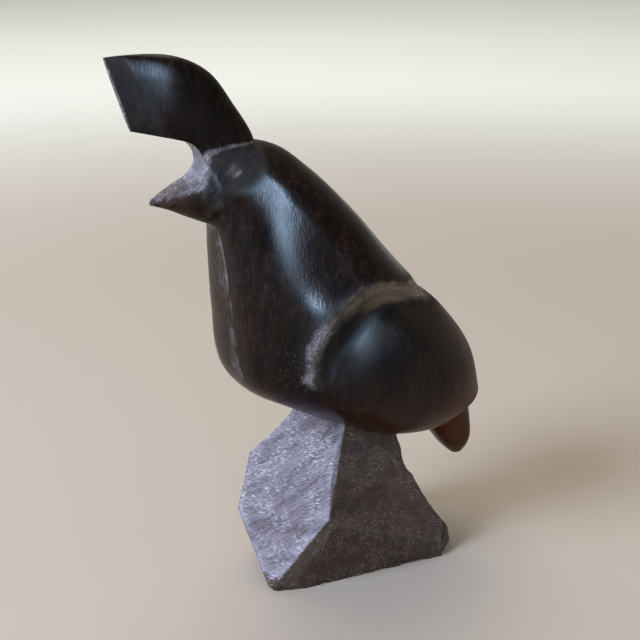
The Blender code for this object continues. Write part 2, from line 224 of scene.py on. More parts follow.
def loftRings(rows, around, along):
    # Rings between an upper and a lower rail in the middle plane. Each ring is a superellipse:
    # half width times a power of the sine across, and a power of the cosine between the rails,
    # measured from the level of its widest line.
    table = np.array(rows)
    cuts = curveThrough(table[:, 0], table[:, 1:], np.linspace(0.0, 1.0, along))
    upperY, upperZ, lowerY, lowerZ, half, level, above, below, flank = cuts.T[:, :, None]
    angle = np.arange(around) * 2 * math.pi / around
    c = np.cos(angle)[None, :]
    s = np.sin(angle)[None, :]
    power = 2 / np.where(c > 0, above, below)
    down = np.sign(c) * np.abs(c) ** power
    out = np.sign(s) * np.abs(s) ** power
    keel = 1 - flank * np.abs(out)
    share = np.where(c > 0, level * (1 - down), level - (1 - level) * down * keel)
    ring = np.empty((along, around, 3))
    ring[..., 0] = birdSize(half * out)
    ring[..., 1] = birdSize(upperY + (lowerY - upperY) * share)
    ring[..., 2] = birdSize(upperZ + (lowerZ - upperZ) * share) + bird["seat"]
    return ring


def closeRings(ring, endDepth, count):
    # The lofted rings with a shallow dome over each end, bulging along the end's own normal
    ends = []
    for edge, inner in ((ring[0], ring[1]), (ring[-1], ring[-2])):
        middle = edge.mean(axis=0)
        normal = np.cross(edge[len(edge) // 4] - middle, edge[0] - middle)
        normal /= np.linalg.norm(normal)
        if normal @ (middle - inner.mean(axis=0)) < 0:
            normal = -normal
        ends.append(domeRows(edge, normal, endDepth, count))
    return np.concatenate((ends[0][::-1], ring, ends[1]))


def wingPlace(y, z):
    # Distances in side view outside the hull of two circles, and outside the same hull with its
    # upper front corner cut off straight, which is the wing's edge. The run goes along the hull.
    y0, z0, r0 = (birdSize(v) for v in bird["wingFront"])
    y1, z1, r1 = (birdSize(v) for v in bird["wingBack"])
    z0 += bird["seat"]
    z1 += bird["seat"]
    length = math.hypot(y1 - y0, z1 - z0)
    ey, ez = (y1 - y0) / length, (z1 - z0) / length
    along = (y - y0) * ey + (z - z0) * ez
    across = (z - z0) * ey - (y - y0) * ez
    lean = (r0 - r1) / length
    k = np.clip((along + np.abs(across) * lean / math.sqrt(1 - lean * lean)) / length, 0, 1)
    hull = np.hypot(along - k * length, across) - (r0 + (r1 - r0) * k)
    run = np.arctan2(across, k * length - along) * r0 + np.sign(across) * k * length
    cutY, cutZ, outward = bird["wingCut"]
    turn = math.radians(outward)
    above = z - birdSize(cutZ) - bird["seat"]
    beyond = (y - birdSize(cutY)) * math.cos(turn) + above * math.sin(turn)
    return hull, -softMin(-hull, -beyond, bird["wingCutRound"]), run


def fileGroove(ring):
    # The filed hollow between neck and wing. Each point moves towards its ring's middle by the
    # depth times a share that is 1 at the wing's edge. Outside, the share eases to 0 at the
    # filed bank's outer line. Inside, it falls along a circle's arc, which rounds the wing.
    # Over the back the hollow is narrower and lies higher, and it fades out under the breast.
    # The shoulder above it swells by a bell curve.
    hull, away, run = wingPlace(ring[..., 1], ring[..., 2])
    side = np.abs(ring[..., 0]) / np.abs(ring[..., 0]).max(axis=1, keepdims=True)
    flank = rise(side, *bird["flank"])
    away = away - bird["backLift"] * (1 - flank)
    left = np.maximum(bird["bankReach"] + bird["bankExtra"] * (1 - flank) - hull, 0.0)
    outer = ease(left / (left + np.maximum(away, 0.0) + bird["grooveSoft"]))
    inner = np.clip(1 + away / (bird["roundOver"] + bird["domeReach"] * flank), 0.0, 1.0)
    inner = inner * bird["domeShare"]
    inner = (1 - np.sqrt(1 - inner * inner)) / (1 - math.sqrt(1 - bird["domeShare"] ** 2))
    dip = softMin(inner, outer, bird["creaseBlend"])
    height = (ring[..., 2] - bird["seat"]) / bird["height"]
    low = rise(height, *bird["grooveLow"])
    back = bird["grooveBack"]
    amount = bird["grooveDepth"] * dip * low * (back + (1 - back) * flank)
    ahead = ring[..., 1] - birdSize(bird["shoulder"][0])
    over = ring[..., 2] - bird["seat"] - birdSize(bird["shoulder"][1])
    near = np.exp(-(ahead * ahead + over * over) / (2 * bird["shoulderSpread"] ** 2))
    amount -= bird["shoulderRise"] * near * flank
    amount += bird["handWave"] * waves(*np.moveaxis(ring / bird["handWaveLength"], -1, 0), 3)
    middle = ring.mean(axis=1, keepdims=True)
    spoke = ring - middle
    return middle + spoke * (1 - amount / np.linalg.norm(spoke, axis=2))[..., None]


print("lofting the bird")
bodyRings = fileGroove(loftRings(bird["body"], *bird["bodyGrid"]))
crestRings = loftRings(bird["crest"], *bird["crestGrid"])
beakRings = loftRings(bird["beak"], *bird["smallGrid"])
tailRings = loftRings(bird["tail"], *bird["smallGrid"])
body = gridObject("body", closeRings(bodyRings, *bird["bodyEnd"]))
gridObject("crest", closeRings(crestRings, *bird["crestEnd"]))
gridObject("beak", closeRings(beakRings, *bird["beakEnd"]))
gridObject("tail", closeRings(tailRings, *bird["tailEnd"]))


# The notch between crest and beak

notch = {
    "radius": 6.1,
    "corner": (-24.2, 77.2),  # where its two legs would meet, in hundredths of the bird's height
    "upperLeg": 166.8,  # directions of the legs, in degrees above straight back
    "lowerLeg": 200.2,
    "reach": 32.0,  # length of each leg
    "halfWidth": 13.0,
    "cell": 0.5,
    "arcPoints": 30,
    "frontPoints": 12,
    "ripple": 0.05,  # depth of the cross-file marks
    "rippleLength": 1.1,
    "rippleReach": 14.0,  # how far in front of the arc's middle they go
}


def notchRows():
    # A side-view outline carried straight across the head: upper leg, arc and lower leg, then
    # closed in front. The run along the outline is evenly stepped, and so is x.
    upper, lower = math.radians(notch["upperLeg"]), math.radians(notch["lowerLeg"])
    middle = (upper + lower) / 2
    reach = notch["radius"] / math.sin((lower - upper) / 2)
    centre = np.array((birdSize(notch["corner"][0]), birdSize(notch["corner"][1]) + bird["seat"]))
    centre = centre + reach * np.array((math.cos(middle), math.sin(middle)))
    sweep = math.pi - (lower - upper)
    turn = middle + math.pi + np.linspace(0.5, -0.5, notch["arcPoints"]) * sweep
    arc = centre + notch["radius"] * np.stack((np.cos(turn), np.sin(turn)), axis=1)
    steps = np.arange(notch["cell"], notch["reach"], notch["cell"])[:, None]
    top = arc[0] + steps[::-1] * np.array((math.cos(upper), math.sin(upper)))
    bottom = arc[-1] + steps * np.array((math.cos(lower), math.sin(lower)))
    shares = np.linspace(0, 1, notch["frontPoints"])[1:-1, None]
    front = bottom[-1] + shares * (top[0] - bottom[-1])
    outline = np.concatenate((top, arc, bottom, front))
    across = np.arange(-notch["halfWidth"], notch["halfWidth"] + 0.01, notch["cell"])
    grid = np.empty((len(across), len(outline), 3))
    grid[..., 0] = across[:, None]
    grid[..., 1:] = outline[None]
    filed = grid[..., 1] > centre[0] - notch["rippleReach"]
    ripple = waves(*np.moveaxis(grid / notch["rippleLength"], -1, 0), 8)
    grid[..., 2] += notch["ripple"] * ripple * filed
    return grid


gridObject("notchFile", notchRows())


# The rock

rock = {
    "left": 23.6, "right": 19.0, "front": 32.5, "rear": 40.0,  # from the origin
    "hollowRadius": 70.0,
    "hollowDepth": 1.6,
    "sweep": (80.0, 2.4, 1.302),  # radius, y as a share of the rear, z of the seat
    "scallop": (9.0, 0.6825, 0.811),
    "axis": (1.0, 5.0),  # the upright line that the surface is measured from
    "around": 300,
    "up": 112,
    "top": 57.3,
    "edge": 0.35,  # rounding where two facets meet
    "chipDepth": 1.1,  # bites broken out along the foot
    "chipHeight": 2.4,
    "chipSize": (2.4, 3.0),  # across and up
    "chipContrast": 1.6,
    # share of the stroke depth, width, length and seed of the coarse strokes and the finer ones
    "strokes": ((0.6, 2.3, 17.0, 20), (0.4, 1.2, 9.0, 40)),
    "strokeBow": 260.0,  # how gently each stroke curves
    "swell": (0.16, 8.0),  # depth and length of the hewn unevenness
    "leastSlant": 0.05,  # facets seen flatter than this from the axis are left out
    "farAway": 200.0,
    "floorRows": 26,
    # Facets, each by three points in shares of the sides and of the seat height, then the
    # direction of its rasp strokes in degrees, how deep they are and how pale they left it. In
    # order: lit front, left side, left foot, front corner, right front, undercut, right side,
    # right foot, back slope, back, left back corner.
    "facets": (
        ((0.42, -0.07, 1.10), (0.848, -0.42, 0.52), (0.587, -0.88, 0.09), 48, 0.10, 0.88),
        ((0.42, -0.07, 1.10), (0.848, -0.42, 0.52), (0.979, 0.755, 0.16), 4, 0.12, 0.34),
        ((0.662, -0.83, 0.00), (0.988, 0.728, 0.00), (0.867, -0.20, 0.40), 80, 0.10, 0.11),
        ((0.587, -0.88, 0.09), (0.727, -0.62, 0.26), (0.746, -0.66, 0.00), 20, 0.08, 0.17),
        ((-0.81, -0.76, 0.70), (-0.60, -0.93, 0.44), (-0.95, -0.62, 0.40), 60, 0.10, 0.8),
        ((-0.47, -0.96, 0.38), (0.298, -0.96, 0.10), (-0.50, -0.35, 0.00), 30, 0.10, 0.4),
        ((-0.58, -0.34, 1.12), (-0.87, -0.67, 0.83), (-0.95, 0.53, 0.55), 10, 0.12, 0.45),
        ((-1.00, -0.50, 0.00), (-0.96, 0.71, 0.00), (-1.00, 0.00, 0.60), 75, 0.10, 0.35),
        ((0.68, 0.49, 0.97), (0.746, 0.87, 0.16), (-0.70, 0.54, 0.90), 40, 0.10, 0.45),
        ((0.839, 0.99, 0.00), (-0.80, 0.95, 0.00), (0.00, 0.985, 0.30), 85, 0.10, 0.4),
        ((1.00, 0.71, 0.00), (0.623, 0.99, 0.00), (0.932, 0.765, 0.18), 60, 0.10, 0.4)),
    "hollowed": (1, 6),
}


def rockPoint(share):
    x, y, z = share
    return np.array((x * (rock["left"] if x > 0 else rock["right"]),
                     y * (rock["rear"] if y > 0 else rock["front"]), z * bird["seat"]))


def facetFrame(facet):
    # Offset and outward normal of a facet, and the two directions in it: along its rasp
    # strokes and across them
    a, b, c = (rockPoint(p) for p in facet[:3])
    normal = np.cross(b - a, c - a)
    normal /= np.linalg.norm(normal)
    if normal @ (a - np.array((0.0, 0.0, bird["seat"] / 2))) < 0:
        normal = -normal
    level = np.cross((0.0, 0.0, 1.0), normal)
    level /= np.linalg.norm(level)
    upward = np.cross(normal, level)
    lean = math.radians(facet[3])
    along = level * math.cos(lean) + upward * math.sin(lean)
    return normal @ a, normal, along, upward * math.cos(lean) - level * math.sin(lean)


def strokePlace(u, v):  # places across and along the rasp strokes, which bow a little
    return u - v * v / rock["strokeBow"], v


def sideHollow(facet, normal, px, py, z):
    # The long round hollow swept along a facet: its depth in the middle, less the square of
    # the distance beside it over twice the radius
    a, b, c = (rockPoint(p) for p in facet[:3])
    middle = (a + b + 2 * c) / 4
    lengthways = c - (a + b) / 2
    lengthways /= np.linalg.norm(lengthways)
    sideways = np.cross(normal, lengthways)
    far = ((px - middle[0]) * sideways[0] + (py - middle[1]) * sideways[1]
           + (z - middle[2]) * sideways[2])
    return np.maximum(rock["hollowDepth"] - far * far / (2 * rock["hollowRadius"]), 0)


def rockRows():
    # The surface is measured level from the upright axis: for each height and heading, the
    # nearest of all facets and round cuts, with the meeting lines rounded. Every facet's
    # distance has its rasp strokes and hollow taken off, square to the facet. Rows that
    # shrink towards the axis close the underside.
    z = np.linspace(0.0, rock["top"], rock["up"])[:, None]
    heading = np.arange(rock["around"]) * 2 * math.pi / rock["around"]
    dx, dy = np.cos(heading)[None], np.sin(heading)[None]
    ax, ay = rock["axis"]
    least, far = rock["leastSlant"], rock["farAway"]
    radius = np.full((rock["up"], rock["around"]), far)
    for number, facet in enumerate(rock["facets"]):
        offset, normal, along, across = facetFrame(facet)
        slant = normal[0] * dx + normal[1] * dy
        seen = slant > least
        slant = np.where(seen, slant, 1.0)
        reach = (offset - normal[0] * ax - normal[1] * ay - normal[2] * z) / slant
        reach = np.where(seen, reach, far)
        px, py = ax + reach * dx, ay + reach * dy
        u = px * across[0] + py * across[1] + z * across[2]
        v = px * along[0] + py * along[1] + z * along[2]
        bowed, v = strokePlace(u, v)
        depth = facet[4] * sum(share * waves(bowed / wide, v / long, 0.5, seed + number)
                               for share, wide, long, seed in rock["strokes"])
        swell, swellLength = rock["swell"]
        depth = depth + swell * waves(u / swellLength, v / swellLength, 0.5, 60 + number)
        if number in rock["hollowed"]:
            depth = depth + sideHollow(facet, normal, px, py, z)
        radius = softMin(radius, reach - depth / slant, rock["edge"])
    for size, rearShare, seatShare in (rock["sweep"], rock["scallop"]):
        drop = z - seatShare * bird["seat"]
        half = np.sqrt(np.maximum(size * size - drop * drop, 0.0))
        cut = (rearShare * rock["rear"] - half - ay) / np.where(dy > least, dy, 1.0)
        cut = np.where((dy > least) & (np.abs(drop) < size), cut, far)
        radius = softMin(radius, cut, 1.2 * rock["edge"])
    wide, tall = rock["chipSize"]
    chips = waves(radius * dx / wide, radius * dy / wide, z / tall, 95)
    chips = ease(chips * rock["chipContrast"])
    radius = radius - rock["chipDepth"] * chips * ease(1 - z / rock["chipHeight"])
    rows = np.stack(np.broadcast_arrays(ax + radius * dx, ay + radius * dy, z), axis=-1)
    shrink = np.linspace(1, 0, rock["floorRows"])[1:-1, None, None]
    pole = np.array((ax, ay, 0.0))
    floorRows = pole + (rows[0] - pole) * shrink
    return np.concatenate((floorRows[::-1], rows))


gridObject("rock", rockRows())


# One block: the parts are joined and the notch is cut, and each face keeps its part's number

parts = ("body", "crest", "beak", "notchFile", "tail", "rock")
print("joining the block")
for number, name in enumerate(parts):
    mesh = bpy.data.objects[name].data
    for other in parts:
        mesh.materials.append(bpy.data.materials.get(other) or bpy.data.materials.new(other))
    mesh.polygons.foreach_set("material_index", np.full(len(mesh.polygons), number, np.int32))
for name in parts[1:]:
    step = body.modifiers.new(name, "BOOLEAN")
    step.object = bpy.data.objects[name]
    step.operation = "DIFFERENCE" if name == "notchFile" else "UNION"
    step.solver = "EXACT"
bpy.context.view_layer.update()
whole = bpy.data.meshes.new_from_object(body.evaluated_get(bpy.context.evaluated_depsgraph_get()))
carving = addObject("carvedQuail", whole)
for name in parts:
    bpy.data.objects.remove(bpy.data.objects[name])
print("carving has", len(whole.polygons), "faces and", len(whole.vertices), "vertices")


# Where the rasp showed: the strength of its marks and the run of its strokes, kept on the mesh.
# A pair of numbers is where an easing starts or ends and its span, and a third is its strength.

marks = {
    # the filed bank beside the wing
    "bandFoot": (0.18, 0.09),  # of the bird's height
    "bandEnd": (2.6, 5.0),  # past the bank
    "bandSilver": (99.0, 10.0),  # height where its marks turn from silver to olive; the silver below is partly painted window light
    "ledge": (-6.0, 8.0),  # y where the pale ledge over the back begins; it is pale partly from painted light on its upward face
    "lowerSteps": ((-2.2, 4.0, 0.55), (1.5, 3.5, 0.45)),
    "lowerStrength": 0.86,
    "upperStep": (-1.4, 2.8),
    "upperStrength": 0.66,  # and up to 1 on the ledge
    "bandDust": 0.42,
    "lowerDust": (1.6, 3.0, 0.34),
    "lowerShade": 0.12,
    "ledgeDustAndLight": 0.5,
    "bandFleck": (-0.4, 3.6),
    "haze": (4.0, 6.0, 0.75),  # dull polish around the bank
    "hazeInside": (-4.0, 4.0),
    "wingDull": (0.0, 4.0, 0.32),
    # the head
    "seamReach": 1.5,  # how far the marks run out from where crest meets head
    "seamStrength": 0.57,
    "seamDust": 0.6,
    "patch": (8.7, -38.2, 136.4),  # a few stray strokes on the brow
    "patchSize": 2.3,
    "patchStrength": 0.36,
    "patchFade": 1.6,
    "patchEnd": 1.8,
    "patchTone": (0.06, 0.3),  # dust and flecks
    "crown": (7.0, -37.5, 139.0),  # middle of the duller top of the head
    "crownFade": (11.0, 4.0),
    "planedFrom": (-62.8, 165.5),  # y and z on the border of the crest's planed tip
    "planedTurn": -152.6,  # direction in which that tip lies, in degrees above straight back
    "planedDull": (0.0, 2.0, 0.85),
    "rim": (0.525, 0.35, 0.8),  # the crest's sharp front edge
    "rimTone": (0.6, 0.5),
    # the breast
    "keelFrom": (1.9, 117.0),  # x and z at the top of the painted highlight line down the breast
    "keelDrift": 0.14,
    "keelFront": -30.0,  # y behind which the line is hidden
    "keelLine": (0.84, 0.6),
    "keelFoot": (84.0, 12.0),
    "keelTop": (2.0, 3.0),
    "keelStrength": 0.62,
    "stripStrength": 0.42,
    "stripStart": (-1.0, 2.0),  # the fainter strip of painted reflection beyond the line
    "stripEnd": (9.5, 7.0),
    "stripFoot": (66.0, 14.0),
    "stripTop": (3.0, 8.0),
    "breastFront": -24.0,
    "breastHighlightTone": (0.3, 0.18),  # and how much more on the line
    "breastHighlightFleck": 0.5,
    "breastTop": 124.0,
    "breastOutside": 6.0,
    # beak and notch
    "beakMarks": (0.26, 0.14, 0.35),  # strength, dust and dullness
    "notchRise": (130.0, 6.0),
    "notchDust": (0.4, 0.52),
    "notchFleck": (0.35, 0.65),
    "spread": 3.4,  # how far the notch's marks run out over the cheek and beak
    "spreadMost": (0.8, 0.62, 0.8),  # their strength, dust and flecks
    "spreadBack": (0.45, -56.0, 8.0),
    # the rock
    "toeFade": (3.4, 1.2),  # height where the lit facet's dust starts, and its span
    "toeDust": 0.28,
    "litFrom": 0.85,  # facets paler than this are the silvery one
    "litEdgeHighlight": (3.4, 3.4, 0.46),  # painted highlight: how far in that one is paler near its edges
    "edgeHighlight": (0.5, 0.5, 0.1),  # a fainter painted highlight, the same on the others
    "fleckFrom": (0.3, 0.7),
    # painted warm bounce light, and the burnished shoulders
    "bounceLow": (78.0, 30.0, 0.65),
    "bounceBack": (14.0, 28.0, 0.8),
    "bounceBeak": (-43.0, 7.0, 0.65),
    "rubbed": (-21.0, 104.0),  # y and z of the middle of a burnished place on each shoulder
    "rubbedSpread": 6.0,
    # sanding
    "rootSoft": 4.0,  # how far the crease at the beak's root is sanded soft
    "rimSoft": 1.2,  # and the notch's rim
    "softenSteps": 40,
}
birdPart, crestPart, beakPart, notchPart, tailPart, rockPart = range(6)


def reachFrom(points, places):  # distance of each place to the nearest of the points
    reach = np.empty(len(places))
    for batch in np.array_split(np.arange(len(places)), 24):
        reach[batch] = np.sqrt(((places[batch, None] - points[None]) ** 2).sum(axis=2)).min(axis=1)
    return reach


def readOut(items, name, width=1, kind=np.int32):
    values = np.empty(len(items) * width, kind)
    items.foreach_get(name, values)
    return values


def readBlock():
    # The points in millimetres, the point at each face corner, and the part that each corner is on
    points = readOut(whole.vertices, "co", 3, np.float32).reshape(-1, 3).astype(float) * 1000
    part = readOut(whole.polygons, "material_index")
    part = np.repeat(part, readOut(whole.polygons, "loop_total"))
    return points, readOut(whole.loops, "vertex_index"), part


def pointsOn(points, loops, part, number):  # which points the numbered part's faces touch
    touched = np.zeros(len(points), bool)
    touched[loops[part == number]] = True
    return touched


def softenCreases():
    # The creases beside the beak are sanded soft. Again and again each point moves half way to
    # the mean of its neighbours, times a share that eases to 0 at the stated distance from them.
    points, loops, part = readBlock()
    onHead, onBeak, onNotch = (pointsOn(points, loops, part, number)
                               for number in (birdPart, beakPart, notchPart))
    close = np.where((points[:, 1] < -24) & (points[:, 2] > 110) & (onHead | onBeak | onNotch))[0]
    root = reachFrom(points[onHead & onBeak], points[close])
    rim = reachFrom(points[onNotch & (onHead | onBeak)], points[close])
    share = np.zeros(len(points))
    share[close] = np.maximum(ease(1 - root / marks["rootSoft"]), ease(1 - rim / marks["rimSoft"]))
    ends = readOut(whole.edges, "vertices", 2)
    a, b = ends.reshape(-1, 2).T
    count = np.maximum(np.bincount(ends, minlength=len(points)), 1)
    for step in range(marks["softenSteps"]):
        total = np.stack([np.bincount(a, points[b, k], len(points))
                          + np.bincount(b, points[a, k], len(points)) for k in range(3)], axis=1)
        points += (0.5 * share / count)[:, None] * (total - count[:, None] * points)
    whole.vertices.foreach_set("co", (points / 1000).astype(np.float32).ravel())
    whole.update()


def toolRun(across, along, number):  # a place on the strokes, and a number for their kind
    return np.stack((across, along, np.full(len(along), float(number))), axis=1)


def markBand(at, look):
    # The filed bank beside the wing. Low down its strength grows outward over two eased steps
    # and its flecks are silver, partly painted window light. Over the back one step starts it, and
    # it widens to a pale ledge, pale partly from painted light on its upward face. The polish is
    # duller round it and on the wing.
    past = at.hull - bird["bankReach"]
    foot = rise((at.z - bird["seat"]) / bird["height"], *marks["bandFoot"])
    lower = fall(at.z, *marks["bandSilver"])
    ledge = rise(at.y, *marks["ledge"])
    lowerBand = sum(rise(at.hull, *step) for step in marks["lowerSteps"])
    weakest = marks["upperStrength"]
    upperBand = (weakest + (1 - weakest) * ledge) * rise(at.away, *marks["upperStep"])
    band = marks["lowerStrength"] * lower * lowerBand + (1 - lower) * upperBand
    look.rasped = np.where(at.onBird, foot * fall(past, *marks["bandEnd"]) * band, 0.0)
    look.dust = (marks["bandDust"] + marks["ledgeDustAndLight"] * ledge
                 + lower * (rise(at.hull, *marks["lowerDust"]) - marks["lowerShade"]))
    look.silver = np.where(at.onBird, lower * rise(at.hull, *marks["bandFleck"]), 0.0)
    haze = fall(past, *marks["haze"]) * foot * rise(at.away, *marks["hazeInside"])
    look.worn = np.where(at.onBird, np.maximum(haze, fall(at.away, *marks["wingDull"])), 0.0)


def markHead(at, look):
    # Marks fade out with the distance from the line where crest meets head, and from a patch on
    # the brow. The top of the head and the crest's planed tip are duller.
    onCrest, onHead = (pointsOn(*at.block, number) for number in (crestPart, birdPart))
    near = np.where((at.z > 138) & (np.abs(at.x) < 12) & (at.part <= crestPart))[0]
    gap = np.full(len(at.x), 99.0)
    gap[near] = reachFrom(at.points[onCrest & onHead], at.place[near])
    atSeam = gap < 3 * marks["seamReach"]
    seam = fall(gap, marks["seamReach"], marks["seamReach"], marks["seamStrength"])
    look.dust[atSeam] = marks["seamDust"]
    look.toolRun[atSeam] = toolRun(gap, at.y, 40)[atSeam]

    stray = reachFrom(np.array([marks["patch"]]), at.place) / marks["patchSize"]
    patch = np.where(at.onBird, marks["patchStrength"] * ease(marks["patchFade"] - stray), 0.0)
    look.rasped = np.maximum(look.rasped, np.maximum(seam, patch))
    onPatch = at.onBird & (stray < marks["patchEnd"])
    look.dust[onPatch], look.silver[onPatch] = marks["patchTone"]
    look.silver[atSeam] = marks["seamDust"]

    mirrored = np.stack((np.abs(at.x), at.y, at.z), axis=1)
    crown = reachFrom(np.array([marks["crown"]]), mirrored)
    look.worn = np.maximum(look.worn, fall(crown, *marks["crownFade"]) * at.onBird)
    turn = math.radians(marks["planedTurn"])
    planedY, planedZ = marks["planedFrom"]
    planed = (at.y - planedY) * math.cos(turn) + (at.z - planedZ) * math.sin(turn)
    look.worn = np.where(at.part == crestPart, rise(planed, *marks["planedDull"]), look.worn)


def markBreastHighlight(at, look):
    # A narrow pale line drifts sideways down the breast, a painted highlight along the keel's
    # crease, with a fainter strip of painted reflection beyond it. Both are eased at their sides,
    # foot and top.
    keelX, keelZ = marks["keelFrom"]
    past = keelX + marks["keelDrift"] * (keelZ - at.z) - at.x
    keel = fall(np.abs(past), *marks["keelLine"]) * rise(at.z, *marks["keelFoot"])
    keel = keel * fall(at.z - keelZ, *marks["keelTop"]) * (at.y < marks["keelFront"])
    strip = rise(past, *marks["stripStart"]) * fall(past, *marks["stripEnd"])
    strip = strip * rise(at.z, *marks["stripFoot"]) * fall(at.z - keelZ, *marks["stripTop"])
    inFront = at.onBird & (at.y < marks["breastFront"])
    strip = strip * inFront
    # painted highlight and painted reflection, laid on as pale rasp-like marks
    line = np.where(at.onBird, marks["keelStrength"] * keel, 0.0)
    look.rasped = np.maximum(look.rasped, np.maximum(line, marks["stripStrength"] * strip))
    marked = at.onBird & (keel + strip > 0.02)
    base, more = marks["breastHighlightTone"]
    look.dust = np.where(marked, base + more * keel, look.dust)
    look.silver[marked] = marks["breastHighlightFleck"]
    outside = at.hull > bird["bankReach"] + marks["breastOutside"]
    onBreast = inFront & outside & (at.z < marks["breastTop"])
    look.toolRun[onBreast] = toolRun(at.x, at.z, 20)[onBreast]


def markCrestEdge(at, look):
    # The crest's sharp front edge is pale within a short eased distance of the straight line
    # through the last section's two rails
    top, foot = np.array(bird["crest"][-1][1:5]).reshape(2, 2) * bird["height"] / 100
    down = (foot - top) / np.linalg.norm(foot - top)
    behind = (at.y - top[0]) * down[1] - (at.z - bird["seat"] - top[1]) * down[0]
    rim = np.where(at.part == crestPart, fall(np.abs(behind), *marks["rim"]), 0.0)
    look.rasped = np.maximum(look.rasped, rim)
    look.dust[rim > 0], look.silver[rim > 0] = marks["rimTone"]


def markNotch(at, look):
    # The beak is lightly marked all over. The notch is rasped bare, paler towards its top, and
    # its marks spread over the cheek and the beak's top, fading with the distance from it.
    onBeak, cut = at.part == beakPart, at.part == notchPart
    look.rasped[onBeak], look.dust[onBeak], look.worn[onBeak] = marks["beakMarks"]
    upward = rise(at.z, *marks["notchRise"])[cut]
    look.rasped[cut] = 1.0
    look.dust[cut] = marks["notchDust"][0] + marks["notchDust"][1] * upward
    look.silver[cut] = marks["notchFleck"][0] + marks["notchFleck"][1] * upward
    look.toolRun[cut] = toolRun(at.y + 0.6 * at.z, at.x, 80)[cut]
    onSide = (at.onBird | onBeak) & (at.y < -34) & (at.z > 126) & (at.z < 142)
    around = np.where(onSide)[0]
    reach = reachFrom(at.points[pointsOn(*at.block, notchPart)], at.place[around])
    base, start, span = marks["spreadBack"]
    spread = ease(1.1 - reach / marks["spread"])
    spread = spread * (base + rise(at.y[around], start, span, 1 - base))
    layers = (look.rasped, look.dust, look.silver)
    shares = (spread, ease(spread * 2), ease(spread * 2))
    for layer, most, share in zip(layers, marks["spreadMost"], shares):
        layer[around] = np.maximum(layer[around], most * share)


def markRock(at, look):
    # Each corner takes the strokes and the dust of the facet whose plane is nearest. It is
    # paler near a meeting line, where two planes are about as near: a painted highlight along the
    # edges. The lit facet stays dark below a ragged level at its toe.
    stone = np.where(at.part == rockPart)[0]
    place = at.place[stone]
    frames = [facetFrame(facet) for facet in rock["facets"]]
    lifts = np.stack([np.abs(place @ normal - offset) for offset, normal, along, across in frames])
    order = np.argsort(lifts, axis=0)[:2]
    first, second = np.take_along_axis(lifts, order, axis=0)
    for number, (offset, normal, along, across) in enumerate(frames):
        mine = order[0] == number
        bowed, v = strokePlace(place[mine] @ across, place[mine] @ along)
        look.toolRun[stone[mine]] = toolRun(bowed, v, 120 + 17 * number)
        look.dust[stone[mine]] = rock["facets"][number][5]
    dust = look.dust[stone]
    lit = dust > marks["litFrom"]
    apart = second - first
    # painted highlight along the meeting lines, strongest on the lit facet
    dust = dust + np.where(lit, fall(apart, *marks["litEdgeHighlight"]), fall(apart, *marks["edgeHighlight"]))
    ragged = place[:, 2] + 1.1 * waves(*(place.T / 1.6), 90)
    toe = marks["toeDust"]
    dust = np.where(lit, toe + (dust - toe) * rise(ragged, *marks["toeFade"]), dust)
    look.dust[stone] = dust
    look.rasped[stone] = 1.0
    base, span = marks["fleckFrom"]
    look.silver[stone] = np.clip((dust - base) / span, 0, 1)


def markBlock():
    # Seven values at each face corner. Rasped is the strength of the tool marks, dust how pale
    # they are, and silver how bright their flecks. Worn is how dull the polish is, and rubbed
    # how bright, by a bell curve round each shoulder. The painted bounce is a painted reflection
    # of warm red light from below, growing to the belly, rump and beak's tip. The tool run is a
    # place across and along the strokes.
    block = points, loops, part = readBlock()
    place = points[loops]
    x, y, z = place.T
    hull, away, run = wingPlace(y, z)
    at = SimpleNamespace(block=block, points=points, part=part, place=place, x=x, y=y, z=z,
                         hull=hull, away=away, onBird=part == birdPart)
    look = SimpleNamespace(toolRun=toolRun(away, run, 0))
    for mark in (markBand, markHead, markBreastHighlight, markCrestEdge, markNotch, markRock):
        mark(at, look)
    # painted warm bounce light: redder low down, towards the rear and at the beak's tip
    warm = fall(z, *marks["bounceLow"]) + rise(y, *marks["bounceBack"])
    look.warm = np.where(part == beakPart, fall(y, *marks["bounceBeak"]), warm)
    offY, offZ = y - marks["rubbed"][0], z - marks["rubbed"][1]
    bell = np.exp(-(offY * offY + offZ * offZ) / (2 * marks["rubbedSpread"] ** 2))
    look.rubbed = bell * at.onBird
    for name, values in vars(look).items():
        vector = values.ndim == 2
        layer = whole.attributes.new(name, "FLOAT_VECTOR" if vector else "FLOAT", "CORNER")
        layer.data.foreach_set("vector" if vector else "value", values.astype(np.float32).ravel())


print("sanding the creases beside the beak")
softenCreases()
print("marking the rasped places")
markBlock()


# The wood

